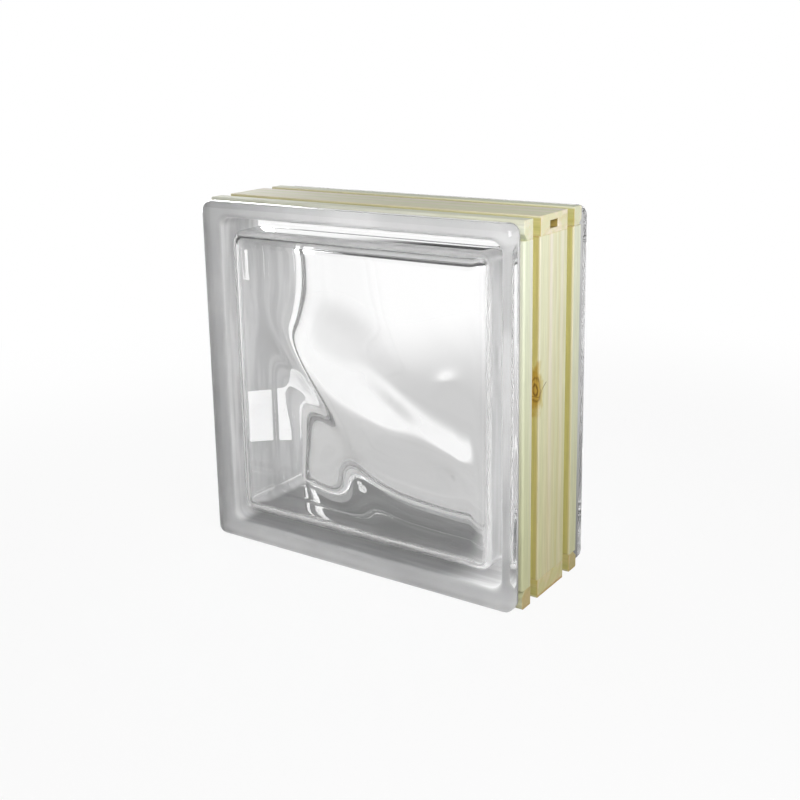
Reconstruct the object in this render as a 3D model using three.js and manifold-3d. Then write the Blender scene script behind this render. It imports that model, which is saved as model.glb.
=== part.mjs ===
// Glass block in a grooved pine frame, for dry-assembled glass walls.
// Two pressed glass halves stand fused face to face; four grooved boards
// fill the channel round the edge of the block.
// Millimetres. X is the width, the front face looks along -Y, +Z is up.
// The origin lies in the middle of the underside of the bottom rail.

import * as THREE from 'three';
import { mergeVertices } from 'three/addons/utils/BufferGeometryUtils.js';
import Module from 'manifold-3d';

const wasm = await Module();
wasm.setup();

// ---------------------------------------------------------------- sizes
// Glass block, outside
const GLASS_WIDTH = 190;
const GLASS_HEIGHT = 190;
const GLASS_DEPTH = 80;
const CORNER_RADIUS = 7;
const EDGE_RADIUS = 4;
const RIM_FLAT = 3;
const RIM_BACK_RADIUS = 3.3;
const CHANNEL_CORNER_RADIUS = 6;
const CHANNEL_FILLET = 2.8;

// Glass block, inside
const PLATE_THICKNESS = 8.5;
const WALL_AT_PLATE = 6.5;
const WALL_AT_SEAM = 6.2;
const CAVITY_CORNER_RADIUS = 7;
const CAVITY_FOOT = 9.5;
const FOOT_CORNER_RADIUS = 1;
const SEAM_BEAD_HEIGHT = 0.5;
const SEAM_BEAD_WIDTH = 1.8;

// Soft swells pressed into the inner side of each plate. A swell is a bell
// curve with its middle at x and z from the middle of the plate, turned by
// some degrees, with a length, a width and a height. Raised swells make the
// plate thicker, and hollows have a height below zero.
const SWELL_MARGIN = 20;
const SWELL_FADE = 14;
const FRONT_SWELLS = [
  { x: -9, z: 2, turn: -25, length: 59, width: 12, height: -1.3 }, // narrow hollow through the middle
  { x: 23, z: -9, turn: 65, length: 60, width: 30, height: -2.4 }, // broad hollow, rising to the right
  { x: 15, z: -76, turn: -60, length: 59, width: 14, height: 2.4 }, // ridge from the bottom edge
  { x: -16, z: -49, turn: 10, length: 14, width: 16, height: 1.7 }, // knoll low on the left
  { x: 14, z: -4, turn: -40, length: 48, width: 16, height: 2.6 }, // ridge, falling to the right
  { x: 70, z: -33, turn: -10, length: 58, width: 12, height: -2.6 }, // hollow at the right edge
];
const BACK_SWELLS = [
  { x: -9, z: -41, turn: -15, length: 60, width: 12, height: -2.6 }, // long hollow low down
  { x: 48, z: -47, turn: 90, length: 12, width: 12, height: 2.1 }, // round knoll low on the right
  { x: -48, z: -1, turn: -25, length: 60, width: 12, height: 2.4 }, // ridge from the left edge
  { x: 25, z: -34, turn: -15, length: 42, width: 12, height: 2.6 }, // ridge above the long hollow
  { x: 40, z: -54, turn: -30, length: 22, width: 12, height: -2.6 }, // short hollow under the knoll
];

// Pine frame
const BOARD_THICKNESS = 9.5;
const WOOD_PROUD = 0.8;
const WOOD_CLEARANCE = 0.3;
const BOARD_ARRIS = 0.7;
const BOARD_INNER_CHAMFER = 3;

// Grooves round the outside of the frame
const GROOVE_WIDTH = 7.1;
const GROOVE_DEPTH = 5;
const CENTRE_STRIP_WIDTH = 27.9;

// Slot in the right-hand end of the top rail
const SLOT_WIDTH = 8.2;
const SLOT_HEIGHT = 3.8;
const SLOT_DEPTH = 18;
const SLOT_BELOW_TOP = 3.3;

// How far a cutter reaches past the wood, and how near points are one
const CUTTER_OVERRUN = 1;
const MERGE_DISTANCE = 1e-4;

// Fineness of the curved surfaces
const SIDE_STEPS = 9;
const CORNER_STEPS = 3;
const EDGE_STEPS = 4;
const RIM_BACK_STEPS = 3;
const CHANNEL_FILLET_STEPS = 2;
const FOOT_STEPS = 5;

// Colours
const GLASS_COLOUR = '#dfe6e4';
const GLASS_OPACITY = 0.35;
const GLASS_ROUGHNESS = 0.05;
const PINE_COLOUR = '#dccf9f';
const PINE_ROUGHNESS = 0.7;

// -------------------------------------------------------- derived sizes
const halfWidth = GLASS_WIDTH / 2;
const halfHeight = GLASS_HEIGHT / 2;
const halfDepth = GLASS_DEPTH / 2;
const glassMiddle = WOOD_PROUD + halfHeight;
const channelDepth = BOARD_THICKNESS - WOOD_PROUD + WOOD_CLEARANCE;
const flangeDepth = EDGE_RADIUS + RIM_FLAT + RIM_BACK_RADIUS;
const channelHalf = halfDepth - flangeDepth;
const boardHalf = channelHalf - WOOD_CLEARANCE;
const woodHalfWidth = halfWidth + WOOD_PROUD;
const woodHalfHeight = halfHeight + WOOD_PROUD;
const cavityHalf = halfDepth - PLATE_THICKNESS;
const seamInset = channelDepth + WALL_AT_SEAM;
const wallInset = channelDepth + WALL_AT_PLATE;
const footDepth = cavityHalf - CAVITY_FOOT;
const halfSteps = SIDE_STEPS + CORNER_STEPS;
const ringCount = 8 * halfSteps;
const grooveNear = CENTRE_STRIP_WIDTH / 2;
const grooveFar = grooveNear + GROOVE_WIDTH;
const grooveMiddle = (grooveNear + grooveFar) / 2;
const quarterTurn = Math.PI / 2;

// -------------------------------------------------------------- helpers
// A point of a rounded rectangle with the given half sizes. side is 0 to 3
// for right, top, left and bottom. along runs from -1 to 1 over that side,
// from the middle of one corner to the middle of the next, and cornerShare
// tells how much of it is spent on the rounding of the two corners.
function outlinePoint(side, along, hx, hz, radius, cornerShare) {
  const upright = side % 2 === 0;
  const straight = (upright ? hz : hx) - radius;
  const straightShare = 1 - cornerShare;
  const way = Math.min(Math.abs(along) / straightShare, 1) * straight;
  const past = Math.max(Math.abs(along) - straightShare, 0);
  const turned = cornerShare > 0 ? quarterTurn / 2 * past / cornerShare : 0;
  const out = (upright ? hx : hz) - radius + radius * Math.cos(turned);
  const over = Math.sign(along) * (way + radius * Math.sin(turned));
  return [[out, over], [-over, out], [-out, -over], [over, -out]][side];
}

// All points of a rounded rectangle at some inset from the rim.
function ringPoints(inset, radius) {
  const points = [];
  for (let side = 0; side < 4; side += 1) {
    for (let step = -halfSteps; step < halfSteps; step += 1) {
      points.push(outlinePoint(side, step / halfSteps, halfWidth - inset,
        halfHeight - inset, Math.max(radius, 0), CORNER_STEPS / halfSteps));
    }
  }
  return points;
}

// Fade from 0 to 1 with no kink at either end.
function smooth(share) {
  const s = Math.min(Math.max(share, 0), 1);
  return s * s * (3 - 2 * s);
}

// How much thicker the swells make a plate at x, z from its middle.
function swellHeight(swells, x, z) {
  let height = 0;
  swells.forEach((swell) => {
    const turn = THREE.MathUtils.degToRad(swell.turn);
    const along = (x - swell.x) * Math.cos(turn) + (z - swell.z) * Math.sin(turn);
    const across = (z - swell.z) * Math.cos(turn) - (x - swell.x) * Math.sin(turn);
    height += swell.height * Math.exp(-((along / swell.length) ** 2)
      - (across / swell.width) ** 2);
  });
  const fadeX = smooth((halfWidth - Math.abs(x) - SWELL_MARGIN) / SWELL_FADE);
  const fadeZ = smooth((halfHeight - Math.abs(z) - SWELL_MARGIN) / SWELL_FADE);
  return height * fadeX * fadeZ;
}

// Rings of one pressed half, from the outer face round the rim, through the
// channel and over the seam to the foot of the inner side. Each is a list of
// points x, depth, z, and depth grows from the seam towards the face.
function sectionRings(swells) {
  const rings = [];
  const addRing = (inset, radius, depth) => {
    rings.push(ringPoints(inset, radius).map(([x, z]) => [x, depth, z]));
  };
  for (let step = 0; step <= EDGE_STEPS; step += 1) {
    const angle = quarterTurn * step / EDGE_STEPS;
    const inset = EDGE_RADIUS * (1 - Math.sin(angle));
    addRing(inset, CORNER_RADIUS - inset, halfDepth - EDGE_RADIUS * (1 - Math.cos(angle)));
  }
  for (let step = 0; step <= RIM_BACK_STEPS; step += 1) {
    const angle = quarterTurn * step / RIM_BACK_STEPS;
    const inset = RIM_BACK_RADIUS * (1 - Math.cos(angle));
    addRing(inset, CORNER_RADIUS - inset, channelHalf + RIM_BACK_RADIUS * (1 - Math.sin(angle)));
  }
  for (let step = 0; step <= CHANNEL_FILLET_STEPS; step += 1) {
    const angle = quarterTurn * step / CHANNEL_FILLET_STEPS;
    const inset = channelDepth - CHANNEL_FILLET * (1 - Math.sin(angle));
    addRing(inset, CHANNEL_CORNER_RADIUS, channelHalf - CHANNEL_FILLET * (1 - Math.cos(angle)));
  }
  addRing(channelDepth, CHANNEL_CORNER_RADIUS, 0);
  addRing(seamInset + SEAM_BEAD_HEIGHT, CAVITY_CORNER_RADIUS, 0);
  addRing(seamInset, CAVITY_CORNER_RADIUS, SEAM_BEAD_WIDTH);
  for (let step = 0; step <= FOOT_STEPS; step += 1) {
    const angle = quarterTurn * step / FOOT_STEPS;
    const away = 1 - Math.cos(angle);
    const radius = CAVITY_CORNER_RADIUS + (FOOT_CORNER_RADIUS - CAVITY_CORNER_RADIUS) * away;
    const share = Math.sin(angle);
    addRing(wallInset + CAVITY_FOOT * away, radius, footDepth + CAVITY_FOOT * share);
    rings[rings.length - 1].forEach((point) => {
      point[1] -= share * swellHeight(swells, point[0], point[2]);
    });
  }
  return rings;
}

// A grid of points over the inner side of a plate. Point i, j lies on the
// rounded rectangle number max(|i|, |j|), counted from the middle; the last
// one is the end of the foot, so its points are the last ring's own.
function plateGrid(swells, addPoint, lastRingStart) {
  const hx = halfWidth - wallInset - CAVITY_FOOT;
  const hz = halfHeight - wallInset - CAVITY_FOOT;
  const grid = [];
  for (let i = -halfSteps; i <= halfSteps; i += 1) {
    const row = [];
    for (let j = -halfSteps; j <= halfSteps; j += 1) {
      const level = Math.max(Math.abs(i), Math.abs(j));
      let side = 3;
      if (i === level && j !== level) side = 0;
      else if (j === level && i !== -level) side = 1;
      else if (i === -level && j !== -level) side = 2;
      const minor = [j, -i, -j, i][side];
      if (level === halfSteps) {
        row.push(lastRingStart + side * 2 * halfSteps + minor + halfSteps);
      } else {
        const share = level / halfSteps;
        const [x, z] = outlinePoint(side, level ? minor / level : 0, hx * share, hz * share, 0, 0);
        row.push(addPoint(x, cavityHalf - swellHeight(swells, x, z), z));
      }
    }
    grid.push(row);
  }
  return grid;
}

// One pressed half: the rings joined into bands, closed by the flat outer
// face and by the pressed inner side of the plate.
function glassHalf(front) {
  const swells = front ? FRONT_SWELLS : BACK_SWELLS;
  const side = front ? -1 : 1;
  const positions = [];
  const addPoint = (x, depth, z) => {
    positions.push(x, side * depth, z + glassMiddle);
    return positions.length / 3 - 1;
  };
  const triangles = [];
  const addSquare = (a, b, c, d) => triangles.push([a, b, c], [a, c, d]);

  const rings = sectionRings(swells);
  rings.forEach((ring) => ring.forEach((point) => addPoint(...point)));
  const faceCentre = addPoint(0, halfDepth, 0);
  for (let spot = 0; spot < ringCount; spot += 1) {
    const next = (spot + 1) % ringCount;
    triangles.push([faceCentre, spot, next]);
    for (let here = 0; here < (rings.length - 1) * ringCount; here += ringCount) {
      const there = here + ringCount;
      addSquare(here + spot, there + spot, there + next, here + next);
    }
  }
  const grid = plateGrid(swells, addPoint, (rings.length - 1) * ringCount);
  for (let i = 0; i < 2 * halfSteps; i += 1) {
    for (let j = 0; j < 2 * halfSteps; j += 1) {
      addSquare(grid[i][j], grid[i][j + 1], grid[i + 1][j + 1], grid[i + 1][j]);
    }
  }

  const geometry = new THREE.BufferGeometry();
  const index = triangles.flatMap(([a, b, c]) => (front ? [a, b, c] : [a, c, b]));
  geometry.setAttribute('position', new THREE.Float32BufferAttribute(positions, 3));
  geometry.setIndex(index);
  return geometry;
}

// A solid for cutting and joining, made from a closed geometry.
function solidOf(geometry) {
  const bare = geometry.clone();
  bare.deleteAttribute('normal');
  bare.deleteAttribute('uv');
  const merged = mergeVertices(bare, MERGE_DISTANCE);
  const mesh = new wasm.Mesh({
    numProp: 3,
    vertProperties: new Float32Array(merged.attributes.position.array),
    triVerts: new Uint32Array(merged.index.array),
  });
  return new wasm.Manifold(mesh);
}

// Back from a solid to a geometry.
function geometryOf(solid) {
  const mesh = solid.getMesh();
  const geometry = new THREE.BufferGeometry();
  geometry.setAttribute('position', new THREE.BufferAttribute(mesh.vertProperties, 3));
  geometry.setIndex(new THREE.BufferAttribute(mesh.triVerts, 1));
  return geometry;
}

// A plain block between two corners.
function block(x0, x1, y0, y1, z0, z1) {
  const geometry = new THREE.BoxGeometry(x1 - x0, y1 - y0, z1 - z0);
  geometry.translate((x0 + x1) / 2, (y0 + y1) / 2, (z0 + z1) / 2);
  return geometry;
}

// Section of a board: across the block in x, outward in y from the inner
// face at 0 to the outer face; two grooves, eased outer arrises, and inner
// arrises chamfered to clear the fillet of the glass channel.
function boardSection() {
  const outer = BOARD_THICKNESS;
  const floor = BOARD_THICKNESS - GROOVE_DEPTH;
  const right = [
    [boardHalf - BOARD_INNER_CHAMFER, 0],
    [boardHalf, BOARD_INNER_CHAMFER],
    [boardHalf, outer - BOARD_ARRIS],
    [boardHalf - BOARD_ARRIS, outer],
    [grooveFar, outer],
    [grooveFar, floor],
    [grooveNear, floor],
    [grooveNear, outer],
  ];
  const left = right.map(([x, y]) => [-x, y]).reverse();
  return new THREE.Shape([...right, ...left].map(([x, y]) => new THREE.Vector2(x, y)));
}

// A board of the given length, lying along +Z of its own frame: the section
// spans its x, the outer face looks along its +y.
function board(length) {
  const geometry = new THREE.ExtrudeGeometry(boardSection(), {
    depth: length,
    bevelEnabled: false,
  });
  geometry.translate(0, 0, -length / 2);
  return geometry;
}

// Places a board by the directions its x, y and z take in the block.
function placed(geometry, xAxis, yAxis, zAxis, origin) {
  const matrix = new THREE.Matrix4().makeBasis(xAxis, yAxis, zAxis);
  matrix.setPosition(origin);
  geometry.applyMatrix4(matrix);
  return geometry;
}

// ------------------------------------------------------------ the boards
const alongX = new THREE.Vector3(1, 0, 0);
const alongY = new THREE.Vector3(0, 1, 0);
const alongZ = new THREE.Vector3(0, 0, 1);
const railLength = 2 * woodHalfWidth;
const stileLength = 2 * woodHalfHeight - 2 * BOARD_THICKNESS;
const woodTop = 2 * woodHalfHeight;

// A rail with the grooves carried on across both of its ends.
function rail(geometry, z0, z1) {
  let solid = solidOf(geometry);
  [-1, 1].forEach((end) => {
    [-1, 1].forEach((side) => {
      const xEnd = end * (woodHalfWidth + CUTTER_OVERRUN);
      const xFloor = end * (woodHalfWidth - GROOVE_DEPTH);
      const y = side * grooveMiddle;
      const cutter = block(Math.min(xEnd, xFloor), Math.max(xEnd, xFloor),
        y - GROOVE_WIDTH / 2, y + GROOVE_WIDTH / 2, z0 - CUTTER_OVERRUN,
        z1 + CUTTER_OVERRUN);
      solid = solid.subtract(solidOf(cutter));
    });
  });
  return solid;
}

const topRailBoard = placed(board(railLength), alongY, alongZ, alongX,
  new THREE.Vector3(0, 0, woodTop - BOARD_THICKNESS));
const slotTop = woodTop - SLOT_BELOW_TOP;
const slotCutter = block(woodHalfWidth - SLOT_DEPTH, woodHalfWidth + CUTTER_OVERRUN,
  -SLOT_WIDTH / 2, SLOT_WIDTH / 2, slotTop - SLOT_HEIGHT, slotTop);
const topRailSolid = rail(topRailBoard, woodTop - BOARD_THICKNESS, woodTop)
  .subtract(solidOf(slotCutter));

const bottomRailBoard = placed(board(railLength), alongY, alongZ.clone().negate(),
  alongX.clone().negate(), new THREE.Vector3(0, 0, BOARD_THICKNESS));
const bottomRailSolid = rail(bottomRailBoard, 0, BOARD_THICKNESS);

const rightStile = placed(board(stileLength), alongY, alongX, alongZ.clone().negate(),
  new THREE.Vector3(woodHalfWidth - BOARD_THICKNESS, 0, woodHalfHeight));
const leftStile = placed(board(stileLength), alongY, alongX.clone().negate(), alongZ,
  new THREE.Vector3(BOARD_THICKNESS - woodHalfWidth, 0, woodHalfHeight));

// -------------------------------------------------------------- the part
const glassMaterial = new THREE.MeshStandardMaterial({
  name: 'glass',
  color: GLASS_COLOUR,
  roughness: GLASS_ROUGHNESS,
  transparent: true,
  opacity: GLASS_OPACITY,
});
const pineMaterial = new THREE.MeshStandardMaterial({
  name: 'pine',
  color: PINE_COLOUR,
  roughness: PINE_ROUGHNESS,
});

const group = new THREE.Group();
group.name = 'glass_block';

function addPart(name, geometry, material) {
  geometry.deleteAttribute('uv');
  geometry.computeVertexNormals();
  const mesh = new THREE.Mesh(geometry, material);
  mesh.name = name;
  group.add(mesh);
}

addPart('glass_half_front', glassHalf(true), glassMaterial);
addPart('glass_half_back', glassHalf(false), glassMaterial);
addPart('top_rail', geometryOf(topRailSolid), pineMaterial);
addPart('bottom_rail', geometryOf(bottomRailSolid), pineMaterial);
addPart('left_stile', leftStile, pineMaterial);
addPart('right_stile', rightStile, pineMaterial);

export default group;
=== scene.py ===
# %% [markdown]
# # A glass block in a grooved pine frame
#
# The real thing is two pressed glass dishes fused rim to rim, which leaves a
# sealed air space in the middle, and four pine boards that fill the channel
# round the edge. Light goes through four glass surfaces or more before it
# reaches the eye, so nearly all of the look is in the shape of the glass: the
# thick border, the round foot of the air space and the waves of the plates.
#
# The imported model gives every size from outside. It is loaded first, and its
# box is kept, because the finished pieces must not grow past it.

# %% Load the frame
import math

import bmesh
import bpy
import numpy as np
from mathutils import Matrix, Vector


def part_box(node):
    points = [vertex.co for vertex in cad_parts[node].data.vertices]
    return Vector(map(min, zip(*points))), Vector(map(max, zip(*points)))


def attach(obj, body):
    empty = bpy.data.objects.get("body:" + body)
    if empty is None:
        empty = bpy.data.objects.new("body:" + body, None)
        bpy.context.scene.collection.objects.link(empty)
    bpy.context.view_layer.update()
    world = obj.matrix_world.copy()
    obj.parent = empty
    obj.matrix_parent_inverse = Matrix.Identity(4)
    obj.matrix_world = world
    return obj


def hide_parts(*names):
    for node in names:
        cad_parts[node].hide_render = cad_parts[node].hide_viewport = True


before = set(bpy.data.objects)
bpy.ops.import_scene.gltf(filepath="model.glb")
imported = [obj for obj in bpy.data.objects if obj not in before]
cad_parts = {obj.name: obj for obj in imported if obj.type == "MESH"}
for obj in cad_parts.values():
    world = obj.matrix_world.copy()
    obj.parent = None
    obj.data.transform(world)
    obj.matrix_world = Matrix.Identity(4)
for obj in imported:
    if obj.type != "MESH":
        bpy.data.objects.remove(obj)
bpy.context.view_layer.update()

# %% [markdown]
# ## Sizes
#
# Blender works in metres and glass makers in millimetres, so `MM` turns one
# into the other. What it only shows inside the glass is named here: how
# thick the plates are, how the air space is rounded, and how deep the
# channel for the boards is.

# %% Sizes of the glass
MM = 0.001
front_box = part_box("glass_half_front")
back_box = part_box("glass_half_back")
HALF = (front_box[1].x - front_box[0].x) / 2
DEPTH = back_box[1].y
MIDDLE = (front_box[0].z + front_box[1].z) / 2

CORNER = 5 * MM              # corners of the two faces
EDGE = 4 * MM                # rounding between a face and the rim
RIM_BACK = 3.3 * MM          # rounding of the rim towards the channel
FLANGE = 10.3 * MM           # depth of the rim, from the face to the channel
CHANNEL = 9 * MM             # how far the channel lies inside the rim
CHANNEL_CORNER = 6 * MM
CHANNEL_FILLET = 2.8 * MM    # pressed glass has no sharp inside corner

PLATE = 8.5 * MM             # plates between the air space and the faces
AIR_CORNER = 7 * MM          # corners of the air space
SEAM_INSET = 15.2 * MM       # side walls of the air space at the fusing seam
FRONT_INSET = 15.5 * MM      # the same walls where they turn into the front plate
BACK_INSET = 15.5 * MM       # and into the back plate
FRONT_FOOT = 9.5 * MM        # rounding from the walls to the front plate
BACK_FOOT = 9.5 * MM         # and to the back plate
SEAM_BEAD = 0.5 * MM         # the fused glass swells a little at the seam
SEAM_WIDTH = 0.9 * MM
print("glass: %.0f mm square, %.0f mm deep" % (2 * HALF / MM, 2 * DEPTH / MM))

# %% [markdown]
# ## Rounded squares
#
# Every level of the block is a square with round corners, only the size and
# the corner change from level to level. If all levels have the same number
# of points in the same order, neighbouring levels join into clean bands of
# four-sided faces. Each side runs from the middle of one corner to the
# middle of the next, and points are spread evenly along its length, so none
# are wasted where the corner is nearly sharp.

# %% Points on rounded squares
NEARLY_SHARP = 0.02 * MM     # the smallest corner, so that nothing is divided by 0


def rounded_square(side, along, half, radius):
    """Points of a rounded square.

    side is 0 to 3 for right, top, left, bottom, and along runs from -1 to 1
    over that side. The way from the middle of the side is
    way = along * (straight + pi / 4 * radius), straight = half - radius.
    Up to the straight part the point moves along the edge, and past it the
    rest of the way, divided by the radius, is the angle round the corner.
    """
    radius = np.maximum(radius, NEARLY_SHARP)
    straight = half - radius
    way = along * (straight + math.pi / 4 * radius)
    turned = np.maximum(np.abs(way) - straight, 0) / radius
    out = straight + radius * np.cos(turned)
    over = np.minimum(np.abs(way), straight) + radius * np.sin(turned)
    over = np.sign(way) * over
    quarter = side * (math.pi / 2)
    cos, sin = np.round(np.cos(quarter)), np.round(np.sin(quarter))
    return out * cos - over * sin, out * sin + over * cos


side_middle, on_axis = rounded_square(0, 0.0, HALF, CORNER)
print("middle of the right side: %.0f mm out, %.0f mm over" % (side_middle / MM, on_axis / MM))

# %% Rings and grids of rounded squares
STEPS = 48                   # grid steps from the middle of a plate to its edge


def level_rings(insets, radii, depths):
    """Rings of points, one for each level: (levels, points, 3), z up."""
    side = np.repeat(np.arange(4), 2 * STEPS)[None, :]
    along = np.tile(np.arange(-STEPS, STEPS) / STEPS, 4)[None, :]
    half = HALF - np.asarray(insets, float)[:, None]
    radius = np.asarray(radii, float)[:, None]
    x, z = rounded_square(side, along, half, radius)
    y = np.broadcast_to(np.asarray(depths, float)[:, None], x.shape)
    return np.stack([x, y, z], axis=-1)


def plate_grid(inset, radius):
    """x and z of a square grid that fills one rounded square.

    Grid point (i, j) lies on the square number max(|i|, |j|), whose half
    width and corner radius shrink in proportion towards the middle.
    """
    count = np.arange(-STEPS, STEPS + 1)
    i, j = np.meshgrid(count, count, indexing="ij")
    level = np.maximum(np.abs(i), np.abs(j))
    side = np.select(
        [(i == level) & (j != level), (j == level) & (i != -level),
         (i == -level) & (j != -level)], [0, 1, 2], 3)
    minor = np.select([side == 0, side == 1, side == 2], [j, -i, -j], i)
    share = level / STEPS
    along = minor / np.maximum(level, 1)
    return rounded_square(side, along, (HALF - inset) * share, radius * share)


test_ring = level_rings([0], [CORNER], [0])
print("points in a ring:", test_ring.shape[1])

# %% [markdown]
# ## The pressed waves
#
# The inner side of each plate is pressed into soft waves, which bend what is
# seen through the block. A wave here is a sum of long, smooth swells: each
# one is a bell curve with its own middle, direction, length, width and
# height. Sines would repeat and look like fabric; swells can lie anywhere,
# like the real cloud pattern. Near the border the waves fade out, because
# the press mould is plain there.

# %% Waves of the two plates
WAVE_EDGE = 20 * MM          # the waves start this far inside the rim
WAVE_FADE = 14 * MM          # and reach their full height over this width
SWELLS = {
    # middle x and z, direction in degrees, length, width and height in millimetres
    "front": (
        (-31, 11, -44, 36, 9, -1.8),     # hollow that runs down from the left
        (23, -9, 65, 60, 30, -2.4),      # broad hollow of the middle
        (15, -76, -60, 59, 14, 1.5),     # long ridge from the lower right
        (-13, -49, 10, 14, 16, 1.5),     # knoll near the lower left
        (20, -4, -35, 40, 12, 1.8),      # slanting ridge across the middle
        (70, -27, -15, 50, 9, -2.0),     # narrow hollow at the right
        (57, 16, 28, 6, 3.5, -1.0),      # small oval dimple at the right
        (-8, 33, -20, 26, 14, 1.5),      # broad knoll above the middle
    ),
    "back": (
        (-9, -41, -15, 60, 12, -2.6),    # long hollow low down
        (-48, -1, -25, 60, 12, 2.4),     # long ridge at the left
        (25, -26, -15, 42, 12, 2.6),     # ridge that answers the right hollow
        (40, -54, -30, 22, 12, -2.6),    # short hollow near the foot
    ),
}


def smooth_step(share):
    """0 below 0, 1 above 1, and 3 s^2 - 2 s^3 between."""
    share = np.clip(share, 0, 1)
    return share * share * (3 - 2 * share)


def wave(x, z, plate):
    """How much thicker a plate is at x, z, with z measured from its middle.

    Each swell adds height * exp(-(u / length)^2 - (v / width)^2), where u
    and v are the distances from its middle along and across its direction.
    """
    total = np.zeros_like(x)
    for mid_x, mid_z, turn, length, width, height in SWELLS[plate]:
        dx, dz = x / MM - mid_x, z / MM - mid_z
        cos, sin = math.cos(math.radians(turn)), math.sin(math.radians(turn))
        u, v = dx * cos + dz * sin, dz * cos - dx * sin
        total += height * np.exp(-(u / length) ** 2 - (v / width) ** 2)
    fade_x = smooth_step((HALF - np.abs(x) - WAVE_EDGE) / WAVE_FADE)
    fade_z = smooth_step((HALF - np.abs(z) - WAVE_EDGE) / WAVE_FADE)
    return total * MM * fade_x * fade_z


print("swells:", len(SWELLS["front"]), "in the front plate,", len(SWELLS["back"]), "in the back")

# %% [markdown]
# ## The section of the block
#
# The outside goes from the front face round the edge, behind the rim, down
# the channel, and back up to the other face. The inside goes from one plate
# down its rounded foot, along the wall with the small bead of the fusing
# seam, and up to the other plate. Both are lists of levels, and each rounding
# is a quarter circle, so a level is given by its inset, corner and depth.

# %% Levels of the outside
EDGE_STEPS = 9


def quarter_turn(steps):
    """Angles from 0 to a right angle."""
    return np.linspace(0, math.pi / 2, steps)


def outer_levels():
    """Inset, corner radius and depth of the outside, front half first.

    Face rounding: inset = edge (1 - sin a), depth = DEPTH - edge (1 - cos a).
    Rim rounding: inset = r (1 - cos a), depth = channel + r (1 - sin a).
    Channel fillet: inset = CHANNEL - r (1 - sin a), depth = channel - r (1 - cos a).
    """
    turn = quarter_turn(EDGE_STEPS)
    channel = DEPTH - FLANGE
    face = EDGE * (1 - np.sin(turn))
    face_depth = DEPTH - EDGE * (1 - np.cos(turn))
    rim = RIM_BACK * (1 - np.cos(turn))
    rim_depth = channel + RIM_BACK * (1 - np.sin(turn))
    fillet = CHANNEL - CHANNEL_FILLET * (1 - np.sin(turn))
    fillet_depth = channel - CHANNEL_FILLET * (1 - np.cos(turn))
    inset = np.concatenate([face, rim, fillet, [CHANNEL, CHANNEL]])
    radius = CORNER + (CHANNEL_CORNER - CORNER) * inset / CHANNEL
    radius[:EDGE_STEPS] = CORNER - face
    radius[EDGE_STEPS:2 * EDGE_STEPS] = CORNER - rim
    depth = np.concatenate(
        [face_depth, rim_depth, fillet_depth, [(channel - CHANNEL_FILLET) / 2, 0]])
    return (np.append(inset, inset[-2::-1]), np.append(radius, radius[-2::-1]),
            np.append(-depth, depth[-2::-1]))


print("levels outside:", len(outer_levels()[0]))

# %% Levels of the air space
FOOT_STEPS = 13
WALL_STEPS = 6
BEAD_STEPS = np.array([0.5, 1, 1.7])     # extra levels, in bead widths from the seam
CORNER_LOSS = 0.8            # corners shrink by this share of the way down the foot


def air_corner(way):
    """Corner radius of the air space, this way inside its walls."""
    return np.maximum(AIR_CORNER - CORNER_LOSS * way, MM)


def air_half(foot, plate_inset):
    """Inset, corner radius and depth from the seam to a plate.

    Wall: inset goes straight from SEAM_INSET to plate_inset. Foot: inset =
    plate_inset + foot (1 - cos a), depth = plate - foot (1 - sin a). The
    bead adds a bell curve of height SEAM_BEAD and width SEAM_WIDTH at 0.
    """
    turn = quarter_turn(FOOT_STEPS)
    plate = DEPTH - PLATE
    wall_depth = (plate - foot) * np.linspace(0, 1, WALL_STEPS, endpoint=False)
    wall_depth = np.sort(np.append(wall_depth, SEAM_WIDTH * BEAD_STEPS))
    wall = SEAM_INSET + (plate_inset - SEAM_INSET) * wall_depth / (plate - foot)
    wall = wall + SEAM_BEAD * np.exp(-(wall_depth / SEAM_WIDTH) ** 2)
    foot_way = foot * (1 - np.cos(turn))
    foot_depth = plate - foot * (1 - np.sin(turn))
    inset = np.append(wall, plate_inset + foot_way)
    depth = np.append(wall_depth, foot_depth)
    corner = np.append(np.full(len(wall), AIR_CORNER), air_corner(foot_way))
    return inset, corner, depth


print("air space: %.0f mm from plate to plate" % (2 * (DEPTH - PLATE) / MM))

# %% Rings of the air space
PLATES = (
    # name, side of the block, foot, and inset of the walls
    ("front", -1, FRONT_FOOT, FRONT_INSET),
    ("back", 1, BACK_FOOT, BACK_INSET),
)


def wave_share(depth, foot):
    """Where the waves act: fully on the plate, fading down the foot."""
    return np.clip((np.abs(depth) - (DEPTH - PLATE - foot)) / foot, 0, 1)


def air_rings():
    """Rings of the whole air space, from the front plate to the back one."""
    halves = []
    for plate, sign, foot, inset in PLATES:
        insets, radii, depths = air_half(foot, inset)
        rings = level_rings(insets, radii, depths)
        pressed = wave(rings[..., 0], rings[..., 2], plate)
        rings[..., 1] -= pressed * wave_share(rings[..., 1], foot)
        rings[..., 1] *= sign
        halves.append(rings)
    return np.concatenate([halves[0][::-1], halves[1][1:]])


print("levels inside:", len(air_rings()))

# %% [markdown]
# ## Welding the levels into one body
#
# Bands of levels and square grids are laid down separately and then welded
# where they meet. Modelling tools could cut such a body out of a box, but
# they would not know the waves. Numpy works all points of a grid out at once,
# and the mesh takes them as one long list of numbers.

# %% Helpers for grids and meshes
def add_grid(store, points, flip):
    """Adds a grid of points and its four-sided faces to the store."""
    rows, columns = points.shape[:2]
    start = sum(len(block) for block in store["points"])
    index = start + np.arange(rows * columns).reshape(rows, columns)
    faces = np.stack([index[:-1, :-1], index[1:, :-1], index[1:, 1:], index[:-1, 1:]], -1)
    faces = faces.reshape(-1, 4)
    store["points"].append(points.reshape(-1, 3))
    store["faces"].append(faces[:, ::-1] if flip else faces)


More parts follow.
